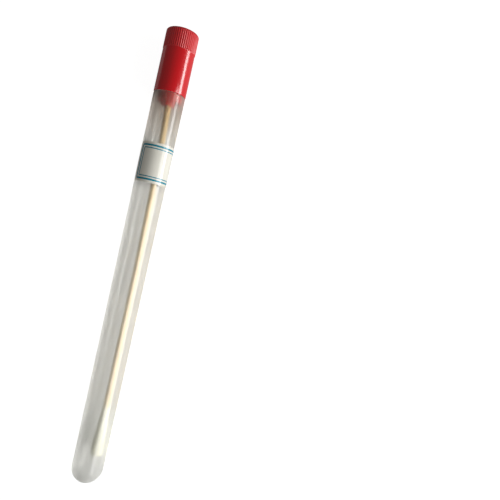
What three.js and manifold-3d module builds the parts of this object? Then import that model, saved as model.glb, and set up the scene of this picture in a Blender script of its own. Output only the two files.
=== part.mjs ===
// Specimen swab tube: a round-bottomed plastic tube with a paper label, closed by a push-in cap that holds
// a wooden stick with a cotton tip. Millimetres. It lies on its side along X with the cap towards +X.
// The floor is z = 0 and the origin is under the middle of its length.

import * as THREE from 'three';
import { mergeVertices } from 'three/addons/utils/BufferGeometryUtils.js';
import Module from 'manifold-3d';

const wasm = await Module();
wasm.setup();

// Driving dimensions. The tube's mouth is at x = 0 while the pieces are made: depths run down the tube from
// it, towards -X, and heights run up the cap, towards +X.

// Tube: one moulding with a slight draft and a hemispherical bottom.
const tubeLength = 150;
const tubeRadius = 6;
const tubeDraft = 0.15; // how much smaller the radius is at the round bottom
const tubeWall = 1;
const rimRound = 0.3;

// Cap: one moulding, a hollow grip with a plug ring and a central nose that takes the stick.
const capHeight = 24.2;
const capOverhang = 0.1; // how far the grip stands proud of the tube
const capTopRound = 0.9;
const capTopWall = 2;
const capRimBevel = 0.2;
const capSeatGap = 0.05;
const plugClearance = 0.12;
const plugWall = 0.9;
const plugDepth = 3;
const plugLeadIn = 0.5;
const noseWall = 1.1;
const noseDepth = 4.5;
const noseRound = 0.5;
const socketHeight = 13; // where the stick's socket ends
const socketEndPlay = 0.3; // between the stick and the socket, at its end
const socketMouthPlay = 0.45; // the same at its mouth, for the lean of the stick
const socketLeadIn = 0.2;

// Ribs around the top of the grip.
const ribCount = 50;
const ribLength = 7.6;
const ribWidth = 0.42;
const ribProud = 0.12; // the tips above the smooth grip
const ribSunk = 0.1; // the valleys below the smooth grip
const ribRunOut = 0.25;

// Stick and cotton tip. The stick leans in its socket and is bowed, so the tip lies near the wall on the -Y
// side, a little below the axis.
const stickRadius = 1.2;
const stickEndGap = 0.3;
const leanHeight = 6; // where the stick crosses the axis
const bowReach = 80; // from there to where the bow is complete
const bowDip = 20; // degrees below level
const tipRadius = 2.4;
const tipLength = 19.3;
const tipCover = 2.4; // cotton past the stick's end
const tipNeckWall = 0.3; // cotton where the winding starts
const tipStickGap = 0.02;
const tipWallGap = 0.4;
const tipBluntness = 0.6; // length of the rounded end, in tip radii
const tipBottomGap = 9; // from the tip's end to the inside of the round bottom

// Label, and its printed border of an outer and an inner line.
const labelDepth = 19.6;
const labelHeight = 15;
const labelWidth = 24.2; // around the tube
const labelStart = 31; // degrees from +Y, from where it runs over the top towards -Y
const labelGap = 0.02;
const labelThickness = 0.08;
const outerLineInset = 0.85;
const outerLineWidth = 0.67;
const lineSpacing = 0.55;
const innerLineWidth = 0.35;
const printGap = 0.01;
const printThickness = 0.03;

// Fineness of the facets.
const tubeFacets = 18; // wide enough for the tube to lie still on one
const arcSteps = 3;
const domeSteps = 12;
const stickSides = 16; // an even number
const stickSteps = 50;
const tipFacets = 32;
const tipEndSteps = 6;
const tipSideSteps = 12;

const xDirection = new THREE.Vector3(1, 0, 0);
const yDirection = new THREE.Vector3(0, 1, 0);
const zDirection = new THREE.Vector3(0, 0, 1);

// Sizes that follow from them.
const boreRadius = tubeRadius - tubeWall;
const endRadius = tubeRadius - tubeDraft;
const endBoreRadius = endRadius - tubeWall;
const domeDepth = tubeLength - endRadius;
const capRadius = tubeRadius + capOverhang;
const ribTipRadius = capRadius + ribProud;
const ribValleyRadius = capRadius - ribSunk;
const ribBase = capHeight - ribLength;
const plugRadius = boreRadius - plugClearance;
const hollowRadius = plugRadius - plugWall;
const socketEndRadius = stickRadius + socketEndPlay;
const socketMouthRadius = stickRadius + socketMouthPlay;
const noseRadius = socketMouthRadius + noseWall;
const bow = endBoreRadius - tipRadius - tipWallGap;
const bowDirection = yDirection.clone().negate().applyAxisAngle(xDirection, THREE.MathUtils.degToRad(bowDip));
const tipEndDepth = tubeLength - tubeWall - tipBottomGap;
const stickEndDepth = tipEndDepth - tipCover;
const tubeRadiusAtLabel = tubeRadius - (tubeDraft * labelDepth) / domeDepth;
const labelInnerRadius = tubeRadiusAtLabel + labelGap;
const labelRadius = labelInnerRadius + labelThickness;
const printInnerRadius = labelRadius + printGap;
const innerLineInset = outerLineInset + outerLineWidth + lineSpacing;

function plainMaterial(color, roughness) {
  return new THREE.MeshStandardMaterial({ color, roughness, metalness: 0 });
}

const frostedPlastic = plainMaterial(0xd8d6cf, 0.45);
const redPlastic = plainMaterial(0xb0161f, 0.3);
const wood = plainMaterial(0xe8cf9f, 0.75);
const cotton = plainMaterial(0xf6f4e6, 0.95);
const paper = plainMaterial(0xf2f3f3, 0.5);
const blueInk = plainMaterial(0x2f8fb5, 0.5);

const at = (radius, x) => new THREE.Vector2(radius, x);

// An arc of a turned profile. 0 degrees points away from the axis and 90 degrees towards +X.
function arc(centreRadius, centreX, radius, fromDegrees, toDegrees, steps = arcSteps) {
  const points = [];
  for (let i = 0; i <= steps; i++) {
    const angle = THREE.MathUtils.degToRad(fromDegrees + ((toDegrees - fromDegrees) * i) / steps);
    points.push(at(centreRadius + radius * Math.cos(angle), centreX + radius * Math.sin(angle)));
  }
  return points;
}

// Turns a profile about the X axis, with its outside listed towards +X. A flat facet faces the floor.
function revolve(profile, facets = tubeFacets) {
  return new THREE.LatheGeometry(profile, facets, Math.PI / facets).rotateZ(-Math.PI / 2);
}

// Extrudes a shape drawn on Y and Z along X.
function extrudeAlongX(shape, fromX, toX) {
  const geometry = new THREE.ExtrudeGeometry(shape, { depth: toX - fromX, bevelEnabled: false });
  geometry.applyMatrix4(new THREE.Matrix4().makeBasis(yDirection, zDirection, xDirection));
  return geometry.translate(fromX, 0, 0);
}

function toSolid(geometry) {
  const bare = geometry.clone();
  bare.deleteAttribute('normal');
  bare.deleteAttribute('uv');
  const merged = mergeVertices(bare);
  const vertProperties = new Float32Array(merged.attributes.position.array);
  const triVerts = new Uint32Array(merged.index.array);
  return new wasm.Manifold(new wasm.Mesh({ numProp: 3, vertProperties, triVerts }));
}

function toGeometry(solid) {
  const { vertProperties, triVerts } = solid.getMesh();
  const geometry = new THREE.BufferGeometry();
  geometry.setAttribute('position', new THREE.BufferAttribute(vertProperties, 3));
  geometry.setIndex(new THREE.BufferAttribute(triVerts, 1));
  geometry.computeVertexNormals();
  return geometry;
}

function namedMesh(name, geometry, material) {
  const mesh = new THREE.Mesh(geometry, material);
  mesh.name = name;
  return mesh;
}

function makeTube() {
  const profile = [
    ...arc(0, -domeDepth, endRadius, -90, 0, domeSteps),
    ...arc(tubeRadius - rimRound, -rimRound, rimRound, 0, 90),
    ...arc(boreRadius + rimRound, -rimRound, rimRound, 90, 180),
    ...arc(0, -domeDepth, endBoreRadius, 0, -90, domeSteps),
  ];
  return namedMesh('tube', revolve(profile), frostedPlastic);
}

// The cap without its ribs, from the socket's end out around the nose, the hollow, the plug and the grip.
function capBody() {
  const hollowTop = capHeight - capTopWall;
  return revolve(
    [
      at(0, socketHeight),
      at(socketEndRadius, socketHeight),
      at(socketMouthRadius, socketLeadIn - noseDepth),
      at(socketMouthRadius + socketLeadIn, -noseDepth),
      ...arc(noseRadius - noseRound, noseRound - noseDepth, noseRound, -90, 0),
      at(noseRadius, hollowTop),
      at(hollowRadius, hollowTop),
      at(hollowRadius, -plugDepth),
      ...arc(plugRadius - plugLeadIn, plugLeadIn - plugDepth, plugLeadIn, -90, 0),
      at(plugRadius, capSeatGap),
      at(capRadius - capRimBevel, capSeatGap),
      at(capRadius, capSeatGap + capRimBevel),
      at(capRadius, ribBase),
      at(ribValleyRadius, ribBase),
      ...arc(ribValleyRadius - capTopRound, capHeight - capTopRound, capTopRound, 0, 90),
      at(0, capHeight),
    ],
    ribCount,
  );
}

// Radial plates trimmed to the outline of the rib tips, which run out below and round over at the top.
function capRibs() {
  const plateInner = (hollowRadius + ribValleyRadius - capTopRound) / 2;
  const plateOuter = ribTipRadius + capTopRound;
  const pitch = (2 * Math.PI) / ribCount;
  const plates = [];
  for (let i = 0; i < ribCount; i++) {
    const plate = new THREE.BoxGeometry(ribLength + 2 * ribRunOut, ribWidth, plateOuter - plateInner);
    plate.translate(capHeight - ribLength / 2, 0, (plateInner + plateOuter) / 2);
    plate.rotateX((i + 0.5) * pitch);
    plates.push(toSolid(plate));
  }
  const tipOutline = revolve(
    [
      at(0, ribBase - ribRunOut),
      at(ribValleyRadius, ribBase - ribRunOut),
      at(ribTipRadius, ribBase + ribRunOut),
      ...arc(ribTipRadius - capTopRound, capHeight - capTopRound, capTopRound, 0, 90),
      at(0, capHeight),
    ],
    ribCount,
  );
  return wasm.Manifold.union(plates).intersect(toSolid(tipOutline));
}

function makeCap() {
  return namedMesh('cap', toGeometry(toSolid(capBody()).add(capRibs())), redPlastic);
}

// The stick's centre line: it leans through the socket, then bows away from the axis.
class BowedLine extends THREE.Curve {
  getPoint(t, target = new THREE.Vector3()) {
    const x = THREE.MathUtils.lerp(socketHeight - stickEndGap, -stickEndDepth, t);
    const share = Math.min((leanHeight - x) / bowReach, 1);
    return target.copy(bowDirection).multiplyScalar(bow * Math.sin((Math.PI / 2) * share)).setX(x);
  }
}

function makeStick() {
  const section = new THREE.Shape().absarc(0, 0, stickRadius, 0, 2 * Math.PI);
  const geometry = new THREE.ExtrudeGeometry(section, {
    extrudePath: new BowedLine(),
    steps: stickSteps,
    curveSegments: stickSides / 2,
  });
  return namedMesh('stick', geometry, wood);
}

// A long drop of wound cotton, blunt at its end and thin at its neck, with a blind hole for the stick.
function makeCottonTip() {
  const neckX = tipLength - tipEndDepth;
  const neckRadius = stickRadius + tipNeckWall;
  const holeRadius = stickRadius + tipStickGap;
  const holeX = -stickEndDepth - tipStickGap;
  const roundX = tipRadius * tipBluntness - tipEndDepth;
  const profile = [];
  for (const point of arc(0, 0, 1, -90, 0, tipEndSteps)) {
    profile.push(at(point.x * tipRadius, roundX + point.y * (roundX + tipEndDepth)));
  }
  for (let i = 1; i <= tipSideSteps; i++) {
    const share = i / tipSideSteps;
    const radius = THREE.MathUtils.lerp(neckRadius, tipRadius, Math.cos((Math.PI / 2) * share));
    profile.push(at(radius, THREE.MathUtils.lerp(roundX, neckX, share)));
  }
  profile.push(at(holeRadius, neckX), at(holeRadius, holeX), at(0, holeX));
  const { x, y, z } = bowDirection.clone().multiplyScalar(bow);
  return namedMesh('cotton_tip', revolve(profile, tipFacets).translate(x, y, z), cotton);
}

// A wedge of the tube's surroundings that holds the label's area, less an inset from each of its edges.
function labelWedge(inset) {
  const reach = 2 * tubeRadius;
  const start = THREE.MathUtils.degToRad(labelStart) + inset / labelRadius;
  const end = THREE.MathUtils.degToRad(labelStart) + (labelWidth - inset) / labelRadius;
  const sector = new THREE.Shape()
    .moveTo(0, 0)
    .lineTo(reach * Math.cos(start), reach * Math.sin(start))
    .absarc(0, 0, reach, start, end);
  return toSolid(extrudeAlongX(sector, inset - labelDepth - labelHeight, -labelDepth - inset));
}

function ringAroundTube(innerRadius, thickness) {
  const outerRadius = innerRadius + thickness;
  const [low, high] = [-labelDepth - labelHeight - tubeWall, -labelDepth + tubeWall];
  return toSolid(
    revolve([
      at(innerRadius, low),
      at(outerRadius, low),
      at(outerRadius, high),
      at(innerRadius, high),
      at(innerRadius, low),
    ]),
  );
}

function makeLabel() {
  const band = ringAroundTube(labelInnerRadius, labelThickness).intersect(labelWedge(0));
  return namedMesh('label', toGeometry(band), paper);
}

function makeBorderLine(name, inset, width) {
  const ring = ringAroundTube(printInnerRadius, printThickness);
  const line = ring.intersect(labelWedge(inset)).subtract(labelWedge(inset + width));
  return namedMesh(name, toGeometry(line), blueInk);
}

const swabTube = new THREE.Group();
swabTube.add(
  makeTube(),
  makeCap(),
  makeStick(),
  makeCottonTip(),
  makeLabel(),
  makeBorderLine('label_border_outer', outerLineInset, outerLineWidth),
  makeBorderLine('label_border_inner', innerLineInset, innerLineWidth),
);

// It rests on the floor, with the origin under its middle.
const extent = new THREE.Box3().setFromObject(swabTube);
swabTube.position.set(-(extent.min.x + extent.max.x) / 2, 0, -extent.min.z);

export default swabTube;
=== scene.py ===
import math
import random

import bmesh
import bpy
from mathutils import Matrix, Vector


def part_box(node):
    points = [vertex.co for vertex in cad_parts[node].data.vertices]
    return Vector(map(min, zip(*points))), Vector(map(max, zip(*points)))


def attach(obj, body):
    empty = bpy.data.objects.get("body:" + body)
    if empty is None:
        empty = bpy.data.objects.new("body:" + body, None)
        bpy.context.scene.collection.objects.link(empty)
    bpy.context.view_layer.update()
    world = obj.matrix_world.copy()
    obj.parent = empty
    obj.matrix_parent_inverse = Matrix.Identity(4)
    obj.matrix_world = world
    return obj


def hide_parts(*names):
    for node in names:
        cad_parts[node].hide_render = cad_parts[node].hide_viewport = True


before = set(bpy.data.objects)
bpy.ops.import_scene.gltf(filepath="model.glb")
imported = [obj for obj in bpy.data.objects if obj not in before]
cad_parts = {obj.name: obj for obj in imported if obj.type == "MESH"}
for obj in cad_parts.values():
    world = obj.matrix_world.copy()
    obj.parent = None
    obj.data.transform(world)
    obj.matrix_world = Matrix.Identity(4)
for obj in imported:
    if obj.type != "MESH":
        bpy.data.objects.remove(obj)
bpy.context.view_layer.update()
print("frame loaded")

mm = 0.001
mergeDistance = 0.002 * mm
white = (1, 1, 1, 1)

# the lines that every piece is placed by
tubeLow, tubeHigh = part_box("tube")
capLow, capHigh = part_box("cap")
tipLow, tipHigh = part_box("cotton_tip")
stickLow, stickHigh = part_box("stick")
labelLow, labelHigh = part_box("label")
axisZ = (capLow.z + capHigh.z) / 2
mouthX = tubeHigh.x
bottomX = tubeLow.x
tubeRadius = tubeHigh.y
tubeDraft = 0.15 * mm  # the round bottom is this much smaller in radius
domeX = bottomX + tubeRadius - tubeDraft
bowVector = Vector((0, (tipLow.y + tipHigh.y) / 2, (tipLow.z + tipHigh.z) / 2 - axisZ))


def tubeRadiusAt(x):
    return tubeRadius - tubeDraft * (mouthX - x) / (mouthX - domeX)


def deselectAll():
    if bpy.context.object and bpy.context.object.mode != "OBJECT":
        bpy.ops.object.mode_set(mode="OBJECT")
    bpy.ops.object.select_all(action="DESELECT")


def makeOnly(piece):
    deselectAll()
    piece.select_set(True)
    bpy.context.view_layer.objects.active = piece


def nameIt(name):
    piece = bpy.context.object
    piece.name = name
    piece.data.name = name
    return piece


def selectVerts(piece, test):
    # leaves just the vertices that pass the test selected, in edit mode
    bpy.ops.mesh.select_mode(type="VERT")
    bpy.ops.mesh.select_all(action="DESELECT")
    mesh = bmesh.from_edit_mesh(piece.data)
    for vert in mesh.verts:
        vert.select_set(bool(test(vert.co)))
    mesh.select_flush_mode()
    bmesh.update_edit_mesh(piece.data)


def settle(piece):
    # puts the object's own centre at the world's, with its place kept in the mesh
    makeOnly(piece)
    bpy.ops.object.transform_apply(location=True, rotation=True, scale=True)


def finishWith(piece, kind, **values):
    makeOnly(piece)
    modifier = piece.modifiers.new(kind.lower(), kind)
    for key, value in values.items():
        setattr(modifier, key, value)
    bpy.ops.object.modifier_apply(modifier=modifier.name)


def smoothBy(piece, degrees):
    makeOnly(piece)
    bpy.ops.object.shade_smooth_by_angle(angle=math.radians(degrees))


def arcPoints(x, radius, bend, fromAngle, toAngle, steps):
    # points of a turned profile round a corner: 0 degrees is away from the axis, 90 is towards +X
    points = []
    for i in range(steps + 1):
        angle = math.radians(fromAngle + (toAngle - fromAngle) * i / steps)
        points.append((x + bend * math.sin(angle), radius + bend * math.cos(angle)))
    return points


def turned(name, profile, steps):
    # draws a profile of (x, radius) point by point and spins it round the tube's axis
    deselectAll()
    x, radius = profile[0]
    bpy.ops.mesh.primitive_plane_add(size=mm, location=(x, 0, axisZ + radius))
    piece = nameIt(name)
    bpy.ops.object.mode_set(mode="EDIT")
    bpy.ops.mesh.select_all(action="SELECT")
    bpy.ops.mesh.merge(type="CENTER")
    bpy.ops.mesh.select_mode(type="VERT")
    bpy.ops.mesh.select_all(action="SELECT")
    for nextX, nextRadius in profile[1:]:
        step = (nextX - x, 0, nextRadius - radius)
        bpy.ops.mesh.extrude_region_move(TRANSFORM_OT_translate={"value": step})
        x, radius = nextX, nextRadius
    bpy.ops.mesh.select_all(action="SELECT")
    bpy.ops.mesh.spin(steps=steps, angle=2 * math.pi, center=(0, 0, axisZ), axis=(1, 0, 0))
    bpy.ops.mesh.select_all(action="SELECT")
    bpy.ops.mesh.remove_doubles(threshold=mergeDistance)
    bpy.ops.mesh.normals_make_consistent(inside=False)
    bpy.ops.object.mode_set(mode="OBJECT")
    settle(piece)
    return piece


def putOn(piece, body, slotName, *nodes):
    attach(piece, body)
    if nodes:
        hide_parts(*nodes)


class Wire:
    # one output socket of a shader node: arithmetic on it adds Math nodes
    def __init__(self, tree, socket=None):
        self.tree = tree
        self.socket = socket

    def node(self, kind, settings=None, inputs=None, out=0):
        made = self.tree.nodes.new("ShaderNode" + kind)
        for key, value in (settings or {}).items():
            if key == "stops":
                for stop, (place, color) in zip(made.color_ramp.elements, value):
                    stop.position = place
                    stop.color = color
            else:
                setattr(made, key, value)
        for key, value in (inputs or {}).items():
            if isinstance(value, Wire):
                self.tree.links.new(value.socket, made.inputs[key])
            else:
                made.inputs[key].default_value = value
        return Wire(self.tree, made.outputs[out])

    def other(self, out):
        return Wire(self.tree, self.socket.node.outputs[out])

    def of(self, node):
        return Wire(self.tree, node.outputs[0])

    def maths(self, operation, first, second=None):
        inputs = {0: first} if second is None else {0: first, 1: second}
        return self.node("Math", {"operation": operation}, inputs)

    def __add__(self, value):
        return self.maths("ADD", self, value)

    __radd__ = __add__

    def __sub__(self, value):
        return self.maths("SUBTRACT", self, value)

    def __rsub__(self, value):
        return self.maths("SUBTRACT", value, self)

    def __mul__(self, value):
        return self.maths("MULTIPLY", self, value)

    __rmul__ = __mul__

    def __pow__(self, value):
        return self.maths("POWER", self, value)

    def __rpow__(self, value):
        return self.maths("POWER", value, self)


def linear(red, green, blue):
    # a colour as it is seen, in 0-255, to the light values that a shader takes
    def channel(value):
        value /= 255
        return value / 12.92 if value <= 0.04045 else ((value + 0.055) / 1.055) ** 2.4
    return (channel(red), channel(green), channel(blue), 1)


def blendColors(wire, share, first, second, blend="MIX"):
    return wire.node("Mix", {"data_type": "RGBA", "blend_type": blend},
                     {0: share, 6: first, 7: second}, 2)


def newMaterial(name):
    material = bpy.data.materials.new(name)
    material.use_nodes = True
    tree = material.node_tree
    shader = tree.nodes["Principled BSDF"]
    wire = Wire(tree)
    place = wire.node("TexCoord", out="Object")
    return material, shader, wire, place


def noise(wire, place, scale, detail, rough=0.5, twist=0.0):
    # a random pattern: one scale is the same all ways, three of them stretch it along an axis
    if isinstance(scale, tuple):
        place = wire.node("Mapping", inputs={"Vector": place, "Scale": scale})
        scale = 1.0
    return wire.node("TexNoise", inputs={"Vector": place, "Scale": scale, "Detail": detail,
                                         "Roughness": rough, "Distortion": twist})


def mapRange(wire, value, low, high, toLow, toHigh, ease="LINEAR"):
    return wire.node("MapRange", {"interpolation_type": ease},
                     {0: value, 1: low, 2: high, 3: toLow, 4: toHigh})


def bump(wire, height, strength, depth):
    return wire.node("Bump", inputs={"Strength": strength, "Distance": depth, "Height": height})


def alongTube(wire, place):
    return wire.node("SeparateXYZ", inputs={"Vector": place}, out="X")


def feed(shader, **values):
    # joins wires to the shader's sockets and sets plain values on them
    names = {"color": "Base Color", "rough": "Roughness", "normal": "Normal", "bend": "IOR",
             "sheen": "Sheen Weight", "sheenRough": "Sheen Roughness", "coat": "Coat Weight",
             "coatRough": "Coat Roughness", "shine": "Specular IOR Level", "clear": "Transmission Weight"}
    for key, value in values.items():
        socket = shader.inputs[names[key]]
        if isinstance(value, Wire):
            value.tree.links.new(value.socket, socket)
        else:
            socket.default_value = value


def show(result):
    # puts this result on the material's surface
    result.tree.links.new(result.socket, result.tree.nodes["Material Output"].inputs["Surface"])


def cover(piece, material):
    piece.data.materials.clear()
    piece.data.materials.append(material)


# straight above the part, to one side of the tube
cameraSetup = {
    "towardsCap": 12.1 * mm,  # the place it hangs over, from the middle of the part
    "beside": -42.5 * mm,
    "above": 189.8 * mm,  # over the tube's axis
    "roll": 12.44,  # degrees between the picture's upright and the tube
    "lens": 36,
    "sensor": 36,
    "nearest": 10 * mm,
}


def makeCamera():
    values = cameraSetup
    data = bpy.data.cameras.new("camera")
    data.sensor_width = values["sensor"]
    data.lens = values["lens"]
    data.clip_start = values["nearest"]
    camera = bpy.data.objects.new("camera", data)
    bpy.context.scene.collection.objects.link(camera)
    roll = math.radians(values["roll"])
    up = Vector((math.cos(roll), math.sin(roll), 0))
    right = Vector((math.sin(roll), -math.cos(roll), 0))
    turn = Matrix((right, up, Vector((0, 0, 1)))).transposed().to_4x4()
    turn.translation = Vector((values["towardsCap"], values["beside"], axisZ + values["above"]))
    camera.matrix_world = turn
    bpy.context.scene.camera = camera


makeCamera()
print("camera placed")


tubeLook = {
    "wall": 1.0 * mm,
    "rimRound": 0.3 * mm,
    "steps": 144,  # round the tube
    "stations": 8,  # along it
    "endSteps": 22,  # over the round bottom, outside
    "endStepsInside": 20,
    "poleAngle": -86,  # degrees: where the bottom's arc begins, next to its pole
    "rimSteps": 5,
    "smooth": 40,
    "shade": linear(236, 236, 233),
    "haze": linear(247, 247, 245),
    "drawn": {"scale": (45, 900, 900), "detail": 5, "rough": 0.6},  # faint streaks along the tube
    "cloud": {"scale": (110, 160, 160), "detail": 4, "rough": 0.55},
    "drawnShare": 0.55,
    "cloudShare": 0.45,
    "frost": {"scale": 9000, "detail": 3, "rough": 0.7},
    "bump": {"strength": 0.06, "depth": 0.02 * mm},
    "rough": 0.3,
    "roughSpread": 0.05,
    "bend": 1.18,  # index of refraction, low enough to keep the edges of the wall quiet
    "gloss": 0.9,
    "glossRough": 0.15,
    "milk": linear(243, 243, 240),
    "milkFront": 0.1,  # how milky a wall looks that is seen from straight in front
    "milkSide": 0.5,  # how much milkier it looks the more it is seen at a slant
    "milkEdge": 1.3,  # and how much more again, only along its very edge
    "edgeSharpness": 4,
    "throughShare": 0.6,  # of the milky light, what goes on through the wall
    "insideGlow": 0.1,  # the share of milky light that falls back on the swab
    "paintedMouthShade": (0.74, 0.7, 0.655, 1),  # painted shade, darker towards the mouth where the cap shades the tube
    "paintedMouthShadeStart": 38.0 * mm,
    # painted shade on the milky light near the mouth
    "paintedMouthShadeMilk": linear(203, 196, 187),
    "lampShare": (0.92, 0.92, 0.92, 1),  # what each face lets through to the swab
}


def makeTubeShell():
    values = tubeLook
    wall, rim, rimSteps = values["wall"], values["rimRound"], values["rimSteps"]
    stations, poleAngle = values["stations"], values["poleAngle"]
    endRadius = tubeRadius - tubeDraft
    side = []
    for i in range(1, stations):
        x = domeX + (mouthX - rim - domeX) * i / stations
        side.append((x, tubeRadiusAt(x)))
    profile = [(bottomX, 0)]
    profile += arcPoints(domeX, 0, endRadius, poleAngle, 0, values["endSteps"])
    profile += side
    profile += arcPoints(mouthX - rim, tubeRadius - rim, rim, 0, 90, rimSteps)
    profile += arcPoints(mouthX - rim, tubeRadius - wall + rim, rim, 90, 180, rimSteps)
    profile += [(x, radius - wall) for x, radius in reversed(side)]
    profile += arcPoints(domeX, 0, endRadius - wall, 0, poleAngle, values["endStepsInside"])
    profile.append((bottomX + wall, 0))
    piece = turned("tubeShell", profile, values["steps"])
    smoothBy(piece, values["smooth"])
    putOn(piece, "tube", "frosted_plastic", "tube")
    return piece


def milkyPlastic(wire, color):
    # light that the plastic scatters, some back and some on through the wall
    front = wire.node("BsdfDiffuse", inputs={"Color": color})
    through = wire.node("BsdfTranslucent", inputs={"Color": color})
    return wire.node("MixShader", inputs={0: tubeLook["throughShare"], 1: front, 2: through})


def frostedPlastic():
    values = tubeLook
    material, shader, wire, place = newMaterial("frostedPlastic")
    drawn = noise(wire, place, **values["drawn"])
    cloud = noise(wire, place, **values["cloud"])
    frost = noise(wire, place, **values["frost"])
    # painted shade: the wall's colour and its milky light are darkened towards the mouth
    nearMouth = mapRange(wire, alongTube(wire, place), values["paintedMouthShadeStart"], mouthX, 0, 1, "SMOOTHSTEP")
    paintedShade = blendColors(wire, nearMouth, white, values["paintedMouthShade"])
    pattern = drawn * values["drawnShare"] + cloud * values["cloudShare"]
    color = blendColors(wire, pattern, values["shade"], values["haze"])
    color = blendColors(wire, 1.0, color, paintedShade, "MULTIPLY")
    rough = drawn * values["roughSpread"] + values["rough"] - values["roughSpread"] / 2
    feed(shader, color=color, rough=rough, normal=bump(wire, frost, **values["bump"]), bend=values["bend"],
         clear=1.0, coat=values["gloss"], coatRough=values["glossRough"])

    # the milky share of the plastic glows on both sides of the wall, also on the swab inside it
    slant = wire.node("LayerWeight", out="Facing")
    edge = slant ** values["edgeSharpness"]
    haze = slant * values["milkSide"] + edge * values["milkEdge"] + values["milkFront"]
    haze = wire.maths("MINIMUM", haze, 1)
    ray = wire.node("LightPath", out="Is Shadow Ray")
    inside = ray.other("Is Diffuse Ray") * values["insideGlow"]
    milk = milkyPlastic(wire, values["milk"])
    # the milky light near the mouth, with the painted shade
    paintedMouthShadeMilk = milkyPlastic(wire, values["paintedMouthShadeMilk"])
    milk = wire.node("MixShader", inputs={0: nearMouth, 1: milk, 2: paintedMouthShadeMilk})
    haze = wire.maths("MAXIMUM", haze, inside)
    wall = wire.node("MixShader", inputs={0: haze, 1: wire.of(shader), 2: milk})
    clear = wire.node("BsdfTransparent", inputs={"Color": values["lampShare"]})
    show(wire.node("MixShader", inputs={0: ray, 1: wall, 2: clear}))
    return material


tubeShell = makeTubeShell()
cover(tubeShell, frostedPlastic())
print("tube made")


capLook = {
    "overhang": 0.1 * mm,
    "topRound": 0.9 * mm,
    "topWall": 2.0 * mm,
    "rimBevel": 0.2 * mm,
    "seatGap": 0.05 * mm,
    "plugClearance": 0.12 * mm,
    "plugWall": 0.9 * mm,
    "plugDepth": 3.0 * mm,
    "plugLeadIn": 0.5 * mm,
    "noseRadius": 2.75 * mm,
    "noseDepth": 4.5 * mm,
    "noseRound": 0.5 * mm,
    "socketHeight": 13.0 * mm,
    "socketEndRadius": 1.5 * mm,
    "socketMouthRadius": 1.65 * mm,
    "socketLeadIn": 0.2 * mm,
    "ribCount": 50,
    "ribLength": 7.6 * mm,
    "ribRunOut": 0.25 * mm,
    "ribLine": 3.0 * mm,  # a line of points round the ribs, from where they start
    "gripLines": (4.0 * mm, 9.0 * mm),  # and round the plain grip, from its seat
    "endLine": 2.5 * mm,  # and round the closed end, in from its edge
    "cornerSteps": 5,
    "bevelSteps": 3,
    "bevelStart": -67,  # degrees: the first point of the rim's bevel after its seat
    "topSteps": 8,
    # radii across one rib, from its crest down to the valley and up again
    "ribRadii": (6.215, 6.195, 6.13, 6.06, 6.035, 6.06, 6.13, 6.195),
    # how much of its depth a rib has, at shares of its run-out and then over the rounded edge
    "runOutReach": ((-1, 0), (-0.5, 0.15), (0, 0.5), (0.5, 0.85), (1, 1)),
    "edgeReach": (1, 0.95, 0.85, 0.7, 0.5, 0.28, 0.1),
    "smooth": 42,
    "dark": linear(206, 8, 20),
    "bright": linear(224, 12, 24),
    "flow": {"scale": (60, 240, 240), "detail": 4, "rough": 0.55},
    "grain": {"scale": 2600, "detail": 3},
    "scuff": {"scale": (2600, 260, 260), "detail": 6, "rough": 0.75},
    "flowBump": 2.0,  # how much higher the flow stands than the grain
    "bump": {"strength": 0.12, "depth": 0.03 * mm},
    "rough": 0.2,
    "ribRough": 0.1,  # added where the ribs are
    "ribRoughBlend": 0.2 * mm,
    "scuffRough": 0.1,
    "bend": 1.6,
    "shine": 0.9,
}


def makeRedCap():
    values = capLook
    capRadius = tubeRadius + values["overhang"]
    topX = capHigh.x
    ribX = topX - values["ribLength"]
    hollowX = topX - values["topWall"]
    plugRadius = tubeRadius - tubeLook["wall"] - values["plugClearance"]
    hollowRadius = plugRadius - values["plugWall"]
    plugX = mouthX - values["plugDepth"]
    noseX = mouthX - values["noseDepth"]
    seatX = mouthX + values["seatGap"]
    socketX = mouthX + values["socketHeight"]
    socketRadius, socketLeadIn = values["socketMouthRadius"], values["socketLeadIn"]
    noseRadius, noseRound = values["noseRadius"], values["noseRound"]
    plugLeadIn, topRound, bevel = values["plugLeadIn"], values["topRound"], values["rimBevel"]
    topArc = arcPoints(topX - topRound, capRadius - topRound, topRound, 0, 90, values["topSteps"])

    # from the end of the socket out over the nose, the plug, the rim and the grip to the closed end
    profile = [(socketX, 0), (socketX, values["socketEndRadius"])]
    profile += [(noseX + socketLeadIn, socketRadius), (noseX, socketRadius + socketLeadIn)]
    profile += arcPoints(noseX + noseRound, noseRadius - noseRound, noseRound, -90, 0,
                         values["cornerSteps"])
    profile += [(hollowX, noseRadius), (hollowX, hollowRadius), (plugX, hollowRadius)]
    profile += arcPoints(plugX + plugLeadIn, plugRadius - plugLeadIn, plugLeadIn, -90, 0,
                         values["cornerSteps"])
    profile += [(seatX, plugRadius), (seatX, capRadius - bevel)]
    profile += arcPoints(seatX + bevel, capRadius - bevel, bevel, values["bevelStart"], 0,
                         values["bevelSteps"])
    profile += [(seatX + above, capRadius) for above in values["gripLines"]]
    rings = [(ribX + share * values["ribRunOut"], reach) for share, reach in values["runOutReach"]]
    rings.append((ribX + values["ribLine"], 1))
    profile += [(x, capRadius) for x, reach in rings]
    profile += topArc
    profile += [(topX, capRadius - values["endLine"]), (topX, 0)]
    piece = turned("redCap", profile, values["ribCount"] * len(values["ribRadii"]))
    rings += [(point[0], reach) for point, reach in zip(topArc, values["edgeReach"])]
    pressRibs(piece, rings[1:], capRadius)  # the first ring is where the plain grip ends
    smoothBy(piece, values["smooth"])
    putOn(piece, "swab", "red_plastic", "cap")
    return piece


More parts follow.
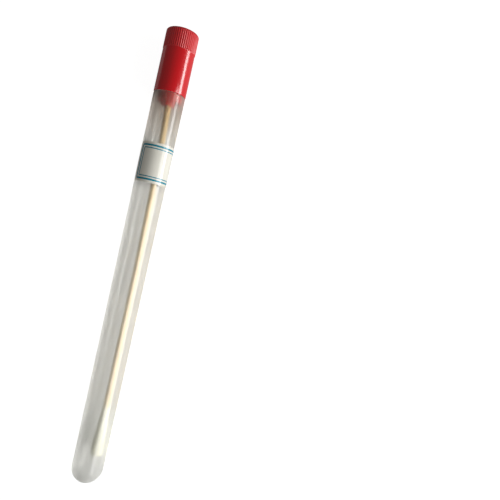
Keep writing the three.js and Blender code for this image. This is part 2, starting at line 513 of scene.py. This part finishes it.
def pressRibs(piece, rings, capRadius):
    # on each ring, every eighth point goes out or in together
    values = capLook
    phases = len(values["ribRadii"])
    steps = values["ribCount"] * phases
    near = 0.02 * mm
    innermost = capRadius - values["topRound"] - near

    def onLine(co, x, phase):
        if abs(co.x - x) > near or math.hypot(co.y, co.z - axisZ) < innermost:
            return False
        turn = math.atan2(co.y, co.z - axisZ) / (2 * math.pi) * steps + phases / 2
        return round(turn) % phases == phase

    bpy.ops.object.mode_set(mode="EDIT")
    for x, reach in rings:
        for phase, ribRadius in enumerate(values["ribRadii"]):
            size = 1 + reach * (ribRadius * mm / capRadius - 1)
            selectVerts(piece, lambda co: onLine(co, x, phase))
            bpy.ops.transform.resize(value=(1, size, size), center_override=(x, 0, axisZ))
    bpy.ops.object.mode_set(mode="OBJECT")


def redPlastic():
    values = capLook
    material, shader, wire, place = newMaterial("redPlastic")
    flow = noise(wire, place, **values["flow"])
    grain = noise(wire, place, **values["grain"])
    scuff = noise(wire, place, **values["scuff"])
    color = blendColors(wire, flow, values["dark"], values["bright"])
    ribStart = capHigh.x - values["ribLength"]
    smoothest = values["rough"] - values["scuffRough"] / 2
    satin = mapRange(wire, alongTube(wire, place), ribStart - values["ribRoughBlend"],
                     ribStart + values["ribRoughBlend"], smoothest, values["rough"] + values["ribRough"])
    feed(shader, color=color, rough=satin + scuff * values["scuffRough"],
         normal=bump(wire, grain + flow * values["flowBump"], **values["bump"]),
         bend=values["bend"], shine=values["shine"])
    return material


redCap = makeRedCap()
cover(redCap, redPlastic())
print("cap made")


stickLook = {
    "radius": 1.2 * mm,
    "sides": 32,
    "steps": 64,
    "leanHeight": 6.0 * mm,  # where it crosses the tube's axis, above the mouth
    "bowReach": 80.0 * mm,
    "bevel": 0.12 * mm,
    "bevelSteps": 2,
    "pale": linear(242, 218, 163),
    "tan": linear(214, 177, 117),
    "line": linear(176, 134, 84),
    "grain": {"scale": (70, 1500, 1500), "detail": 7, "rough": 0.62, "twist": 0.4},
    "pores": {"scale": (340, 6500, 6500), "detail": 3},
    "bands": {"scale": (28, 300, 300), "detail": 2},
    "grainShare": 0.7,
    "bandShare": 0.3,
    "tanBelow": 0.3,  # parts of the pattern under this are tan
    "paleAbove": 0.62,
    "poreStart": 0.56,  # where a pore's dark line starts to show, and where it is full
    "poreFull": 0.68,
    "poreShare": 0.75,
    "poreDepth": 0.5,  # how deep a pore is beside the grain
    "bump": {"strength": 0.35, "depth": 0.03 * mm},
    "rough": 0.52,
    "grainRough": 0.15,
    "bend": 1.45,
    "smooth": 35,
}


def bowAt(x):
    values = stickLook
    share = min((mouthX + values["leanHeight"] - x) / values["bowReach"], 1)
    return bowVector * math.sin(math.pi / 2 * share)


def makeWoodStick():
    values = stickLook
    deselectAll()
    startX, endX = stickHigh.x, stickLow.x
    centre = bowAt(startX)
    bpy.ops.mesh.primitive_circle_add(
        vertices=values["sides"], radius=values["radius"], fill_type="NGON",
        location=(startX, centre.y, axisZ + centre.z), rotation=(0, math.pi / 2, 0))
    piece = nameIt("woodStick")
    settle(piece)
    bpy.ops.object.mode_set(mode="EDIT")
    bpy.ops.mesh.select_mode(type="FACE")
    bpy.ops.mesh.select_all(action="SELECT")
    x = startX
    for i in range(1, values["steps"] + 1):
        nextX = startX + (endX - startX) * i / values["steps"]
        step = bowAt(nextX) - bowAt(x)
        bpy.ops.mesh.extrude_region_move(TRANSFORM_OT_translate={"value": (nextX - x, step.y, step.z)})
        x = nextX
    bpy.ops.mesh.select_mode(type="EDGE")
    bpy.ops.mesh.select_all(action="DESELECT")
    mesh = bmesh.from_edit_mesh(piece.data)
    near = 0.1 * mm
    for edge in mesh.edges:
        ends = [vert.co.x for vert in edge.verts]
        edge.select_set(max(ends) < endX + near or min(ends) > startX - near)
    bmesh.update_edit_mesh(piece.data)
    bpy.ops.mesh.bevel(offset=values["bevel"], segments=values["bevelSteps"])
    bpy.ops.mesh.select_all(action="SELECT")
    bpy.ops.mesh.normals_make_consistent(inside=False)
    bpy.ops.object.mode_set(mode="OBJECT")
    smoothBy(piece, values["smooth"])
    putOn(piece, "swab", "wood", "stick")
    return piece


def paleWood():
    values = stickLook
    material, shader, wire, place = newMaterial("paleWood")
    grain = noise(wire, place, **values["grain"])
    pores = noise(wire, place, **values["pores"])
    bands = noise(wire, place, **values["bands"])
    base = wire.node("ValToRGB", {"stops": [(values["tanBelow"], values["tan"]),
                                            (values["paleAbove"], values["pale"])]},
                     {"Fac": grain * values["grainShare"] + bands * values["bandShare"]})
    lines = mapRange(wire, pores, values["poreStart"], values["poreFull"], 0.0, values["poreShare"])
    color = blendColors(wire, lines, base, values["line"])
    feed(shader, color=color, rough=grain * values["grainRough"] + values["rough"],
         normal=bump(wire, grain - lines * values["poreDepth"], **values["bump"]), bend=values["bend"])
    return material


woodStick = makeWoodStick()
cover(woodStick, paleWood())
print("stick made")


cottonLook = {
    "steps": 96,
    "holeRadius": 1.22 * mm,
    "cover": 2.42 * mm,  # cotton past the stick's end
    # the drop's outline: distance from its end and radius, in millimetres
    "outline": ((0, 0), (0.04, 0.55), (0.16, 1.1), (0.38, 1.6), (0.72, 2.0), (1.15, 2.24), (1.7, 2.34),
                (2.6, 2.38), (3.8, 2.37), (5.2, 2.31), (6.8, 2.2), (8.4, 2.08), (10.2, 1.94), (12.2, 1.8),
                (14.2, 1.68), (16.2, 1.58), (17.8, 1.51), (18.8, 1.44), (19.25, 1.34)),
    "fluff": 0.16 * mm,
    "fluffSize": 0.9 * mm,
    "fluffDetail": 4,
    "fluffMiddle": 0.62,
    "hairs": 46,
    "hairSeed": 7,
    "hairSteps": 7,
    "hairRadius": 0.012 * mm,
    "hairPlaces": (0.6, 18),  # from the drop's end, in millimetres as its outline is
    "hairRoot": 0.06,  # and this far under the outline
    "hairLengths": (0.5, 1.3),
    "hairSlants": (-0.5, 0.5),  # along the stick, for one that runs round it
    "hairCurls": (-2, 2),
    "hairRise": 0.5,  # how fast a fibre leaves the cotton, and how fast it runs along it
    "hairRun": 0.8,
    "smooth": 60,
    "white": linear(241, 240, 219),
    "shade": linear(212, 209, 184),
    "tuft": {"scale": 1400, "detail": 8, "rough": 0.7, "twist": 1.2},
    "strands": {"scale": (2600, 8200, 8200), "detail": 6, "rough": 0.75, "twist": 2.5},
    "windings": 9000,  # radians of winding along a metre
    "windingSlope": 2.0,
    "windingWander": 5.0,
    "reliefShares": (0.6, 0.5, 0.06),  # of tufts, strands and windings
    "colorShares": (0.6, 0.4),  # of tufts and strands
    "shadeBelow": 0.3,
    "whiteAbove": 0.62,
    "bump": {"strength": 0.55, "depth": 0.1 * mm},
    "rough": 0.86,
    "strandRough": 0.1,
    "sheen": 0.35,
    "sheenRough": 0.5,
    "bend": 1.4,
}


def makeCottonTip():
    values = cottonLook
    endX = tipLow.x
    outline = [(endX + away * mm, radius * mm) for away, radius in values["outline"]]
    neckX = outline[-1][0]
    holeX = endX + values["cover"]
    hole = [(neckX, values["holeRadius"]), (holeX, values["holeRadius"]), (holeX, 0)]
    piece = turned("cottonTip", outline + hole, values["steps"])
    piece.location = bowVector
    settle(piece)
    finishWith(piece, "SUBSURF", subdivision_type="SIMPLE", levels=1, render_levels=1)
    clouds = bpy.data.textures.new("cottonClouds", "CLOUDS")
    clouds.noise_scale = values["fluffSize"]
    clouds.noise_depth = values["fluffDetail"]
    finishWith(piece, "DISPLACE", texture=clouds, texture_coords="LOCAL", strength=values["fluff"],
               mid_level=values["fluffMiddle"])
    smoothBy(piece, values["smooth"])
    return piece


def makeHair(start, out, along, length, curl):
    # one loose fibre: a tiny triangle drawn out along a curl
    values = cottonLook
    steps = values["hairSteps"]
    deselectAll()
    bpy.ops.mesh.primitive_circle_add(vertices=3, radius=values["hairRadius"], fill_type="NGON",
                                      location=start)
    piece = nameIt("hair")
    settle(piece)
    bpy.ops.object.mode_set(mode="EDIT")
    bpy.ops.mesh.select_mode(type="FACE")
    bpy.ops.mesh.select_all(action="SELECT")
    side = out.cross(along)
    for i in range(steps):
        turn = curl * i / steps
        step = out * math.cos(turn) * values["hairRise"] + along * values["hairRun"] + side * math.sin(turn)
        bpy.ops.mesh.extrude_region_move(TRANSFORM_OT_translate={"value": step * (length / steps)})
    bpy.ops.object.mode_set(mode="OBJECT")
    return piece


def dropRadiusAt(away):
    # in millimetres, as the outline is
    outline = cottonLook["outline"]
    for (nearAway, nearRadius), (farAway, farRadius) in zip(outline, outline[1:]):
        if nearAway * mm <= away <= farAway * mm:
            share = (away / mm - nearAway) / (farAway - nearAway)
            return nearRadius + (farRadius - nearRadius) * share


def makeHairs():
    values = cottonLook
    dice = random.Random(values["hairSeed"])
    hairs = []
    for number in range(values["hairs"]):
        away = dice.uniform(*values["hairPlaces"]) * mm
        turn = dice.uniform(0, 2 * math.pi)
        outward = Vector((0, math.cos(turn), math.sin(turn)))
        start = Vector((tipLow.x + away, bowVector.y, axisZ + bowVector.z))
        start += outward * (dropRadiusAt(away) - values["hairRoot"]) * mm
        around = Vector((dice.uniform(*values["hairSlants"]), -math.sin(turn), math.cos(turn))).normalized()
        length = dice.uniform(*values["hairLengths"]) * mm
        hairs.append(makeHair(start, outward, around, length, dice.uniform(*values["hairCurls"])))
    return hairs


def cottonFibre():
    values = cottonLook
    material, shader, wire, place = newMaterial("cottonFibre")
    moved = wire.node("VectorMath", {"operation": "SUBTRACT"},
                      {0: place, 1: (0, bowVector.y, axisZ + bowVector.z)})
    parts = wire.node("SeparateXYZ", inputs={"Vector": moved})
    turn = wire.maths("ARCTAN2", parts.other("Z"), parts.other("Y"))
    tuft = noise(wire, place, **values["tuft"])
    strands = noise(wire, place, **values["strands"])
    spiral = parts.other("X") * values["windings"] + turn * values["windingSlope"]
    winding = wire.maths("SINE", spiral + tuft * values["windingWander"])
    tuftShare, strandShare, windingShare = values["reliefShares"]
    relief = tuft * tuftShare + strands * strandShare + winding * windingShare
    tuftShare, strandShare = values["colorShares"]
    color = wire.node("ValToRGB", {"stops": [(values["shadeBelow"], values["shade"]),
                                             (values["whiteAbove"], values["white"])]},
                      {"Fac": tuft * tuftShare + strands * strandShare})
    feed(shader, color=color, rough=strands * values["strandRough"] + values["rough"],
         normal=bump(wire, relief, **values["bump"]), sheen=values["sheen"],
         sheenRough=values["sheenRough"], bend=values["bend"])
    return material


cottonTip = makeCottonTip()
looseHairs = makeHairs()
makeOnly(cottonTip)
for hair in looseHairs:
    hair.select_set(True)
bpy.ops.object.join()
putOn(cottonTip, "swab", "cotton", "cotton_tip")
cover(cottonTip, cottonFibre())
print("cotton tip made")


labelLook = {
    "width": 24.2 * mm,  # around the tube
    "start": 31,  # degrees from +Y, over the top
    "thickness": 0.08 * mm,
    "lift": 0.012 * mm,
    "corner": 0.7 * mm,
    "outerInset": 0.85 * mm,
    "outerLine": 0.67 * mm,
    "lineSpacing": 0.55 * mm,
    "innerLine": 0.35 * mm,
    "lineCorner": 0.9 * mm,
    "ink": 0.012 * mm,
    "inkSunk": 0.004 * mm,  # how far it goes into the paper
    "cornerSteps": 6,
    "cuts": 96,  # across the sheet, before it is bent
    "smooth": 40,
    "paper": linear(248, 246, 235),
    "paperShade": linear(238, 235, 222),
    "blue": linear(34, 142, 164),
    "blueFaint": linear(84, 172, 190),
    "fibre": {"scale": 3200, "detail": 6, "rough": 0.7},
    "mottle": {"scale": 260, "detail": 3},
    "fibreShare": 0.5,
    "mottleShare": 0.5,
    "mottleBump": 3.0,  # how much higher the mottle stands than the fibre
    "paperBump": {"strength": 0.15, "depth": 0.03 * mm},
    "patch": {"scale": 5200, "detail": 4, "rough": 0.7},
    "faintStart": 0.5,  # where the ink starts to thin, and where it is thinnest
    "faintFull": 0.75,
    "faintShare": 0.55,
    "inkBump": {"strength": 0.1, "depth": 0.01 * mm},
    "rough": 0.13,
    "roughSpread": 0.1,
    "bend": 1.45,
    "shine": 1.0,
}


def wrapRound(name, length, width, corner, radius, thickness, lineWidth=0):
    # a flat sheet with rounded corners, bent round the tube. With a line width, only its edge band is kept.
    values = labelLook
    deselectAll()
    bpy.ops.mesh.primitive_plane_add(size=1, location=(0, 0, 0), rotation=(math.pi / 2, 0, 0))
    piece = nameIt(name)
    settle(piece)
    bpy.ops.object.mode_set(mode="EDIT")
    bpy.ops.mesh.select_all(action="SELECT")
    bpy.ops.transform.resize(value=(length, 1, width))
    bpy.ops.mesh.bevel(offset=corner, segments=values["cornerSteps"], affect="VERTICES")
    if lineWidth:
        bpy.ops.mesh.select_all(action="SELECT")
        bpy.ops.mesh.select_mode(type="FACE")
        bpy.ops.mesh.inset(thickness=lineWidth, depth=0)
        bpy.ops.mesh.delete(type="FACE")
    for i in range(1, values["cuts"]):
        bpy.ops.mesh.select_all(action="SELECT")
        bpy.ops.mesh.bisect(plane_co=(0, 0, width * (i / values["cuts"] - 0.5)), plane_no=(0, 0, 1))
    bpy.ops.object.mode_set(mode="OBJECT")
    finishWith(piece, "SOLIDIFY", thickness=thickness, offset=1)
    finishWith(piece, "SIMPLE_DEFORM", deform_method="BEND", deform_axis="X", angle=width / radius)
    bpy.ops.object.mode_set(mode="EDIT")
    bpy.ops.mesh.select_all(action="SELECT")
    bpy.ops.transform.translate(value=(0, -radius, 0))
    bpy.ops.object.mode_set(mode="OBJECT")
    middle = math.radians(values["start"]) + values["width"] / 2 / radius
    piece.rotation_euler = (middle - math.pi, 0, 0)
    piece.location = ((labelLow.x + labelHigh.x) / 2, 0, axisZ)
    settle(piece)
    smoothBy(piece, values["smooth"])
    return piece


def makeLabelPieces():
    values = labelLook
    length, width = labelHigh.x - labelLow.x, values["width"]
    inside = tubeRadiusAt(labelLow.x) + values["lift"]
    label = wrapRound("paperLabel", length, width, values["corner"], inside, values["thickness"])
    printed = inside + values["thickness"] - values["inkSunk"]
    inset = values["outerInset"]
    outer = wrapRound("borderOuter", length - 2 * inset, width - 2 * inset, values["lineCorner"],
                      printed, values["ink"], values["outerLine"])
    inset += values["outerLine"] + values["lineSpacing"]
    inner = wrapRound("borderInner", length - 2 * inset, width - 2 * inset, values["lineCorner"] / 2,
                      printed, values["ink"], values["innerLine"])
    putOn(label, "tube", "label_paper", "label")
    putOn(outer, "tube", "label_ink", "label_border_outer")
    putOn(inner, "tube", "label_ink", "label_border_inner")
    return label, outer, inner


def labelPaper():
    values = labelLook
    material, shader, wire, place = newMaterial("labelPaper")
    fibre = noise(wire, place, **values["fibre"])
    mottle = noise(wire, place, **values["mottle"])
    pattern = fibre * values["fibreShare"] + mottle * values["mottleShare"]
    color = blendColors(wire, pattern, values["paperShade"], values["paper"])
    feed(shader, color=color, rough=fibre * values["roughSpread"] + values["rough"],
         normal=bump(wire, fibre + mottle * values["mottleBump"], **values["paperBump"]),
         bend=values["bend"], shine=values["shine"])
    return material


def printedInk():
    values = labelLook
    material, shader, wire, place = newMaterial("printedInk")
    patch = noise(wire, place, **values["patch"])
    faint = mapRange(wire, patch, values["faintStart"], values["faintFull"], 0.0, values["faintShare"])
    color = blendColors(wire, faint, values["blue"], values["blueFaint"])
    feed(shader, color=color, rough=patch * values["roughSpread"] + values["rough"],
         normal=bump(wire, patch, **values["inkBump"]), bend=values["bend"], shine=values["shine"])
    return material


paperLabel, borderOuter, borderInner = makeLabelPieces()
cover(paperLabel, labelPaper())
ink = printedInk()
cover(borderOuter, ink)
cover(borderInner, ink)
print("label made")


stageLook = {
    "floorSize": 3.0,
    "floorCells": 6,
    "seenGlow": 0.94,  # added to the floor's own shade, so that it looks white
    "mirroredGlow": 0.1,
    "seenThroughGlow": 0.25,
    "floorShade": 0.3,  # the floor's own grey as it is seen, and what it throws back on the part
    "floorBounce": 0.6,
    "worldStrength": 0.19,
    "worldMirrored": 0.08,
    "worldTint": (1, 0.99, 0.97, 1),
    "windowLamp": {"place": (-0.01, -1.2, 0.17), "target": (-0.01, 0, 0.17),
                   "width": 1.14, "height": 0.38, "power": 11.0},
    "skyLamp": {"place": (-0.2, -0.86, 0.56), "target": (-0.02, 0, 0),
                "width": 0.9, "height": 0.3, "power": 3.7},
}


def makeFloor():
    values = stageLook
    cells = values["floorCells"]
    deselectAll()
    bpy.ops.mesh.primitive_grid_add(x_subdivisions=cells, y_subdivisions=cells, size=values["floorSize"],
                                    location=(0, 0, 0))
    floor = nameIt("floor")
    material, shader, wire = newMaterial("floorWhite")[:3]
    wire.tree.nodes.remove(shader)
    ray = wire.node("LightPath", out="Is Camera Ray")
    glow = ray * values["seenGlow"] + ray.other("Is Glossy Ray") * values["mirroredGlow"]
    glow = glow + ray.other("Is Transmission Ray") * values["seenThroughGlow"]
    bounce, shade = [(values[key],) * 3 + (1,) for key in ("floorBounce", "floorShade")]
    shaded = wire.node("BsdfDiffuse", inputs={"Color": blendColors(wire, ray, bounce, shade)})
    lit = wire.node("Emission", inputs={"Strength": glow})
    show(wire.node("AddShader", inputs={0: shaded, 1: lit}))
    cover(floor, material)


def makeLamp(name):
    values = stageLook[name]
    data = bpy.data.lights.new(name, "AREA")
    data.shape = "RECTANGLE"
    data.size = values["width"]
    data.size_y = values["height"]
    data.energy = values["power"]
    lamp = bpy.data.objects.new(name, data)
    bpy.context.scene.collection.objects.link(lamp)
    place, target = Vector(values["place"]), Vector(values["target"])
    lamp.location = place
    lamp.rotation_euler = (target - place).to_track_quat("-Z", "Y").to_euler()


def makeWorld():
    values = stageLook
    world = bpy.data.worlds.new("softStudio")
    bpy.context.scene.world = world
    world.use_nodes = True
    background = world.node_tree.nodes["Background"]
    wire = Wire(world.node_tree)
    ray = wire.node("LightPath", out="Is Camera Ray")
    mirrored = ray.other("Is Glossy Ray") * (values["worldStrength"] - values["worldMirrored"])
    strength = wire.maths("MAXIMUM", ray, values["worldStrength"] - mirrored)
    color = blendColors(wire, ray, values["worldTint"], white)
    wire.tree.links.new(strength.socket, background.inputs["Strength"])
    wire.tree.links.new(color.socket, background.inputs["Color"])


makeFloor()
makeWorld()
makeLamp("windowLamp")
makeLamp("skyLamp")
bpy.context.scene.view_settings.view_transform = "Standard"
print("stage made")
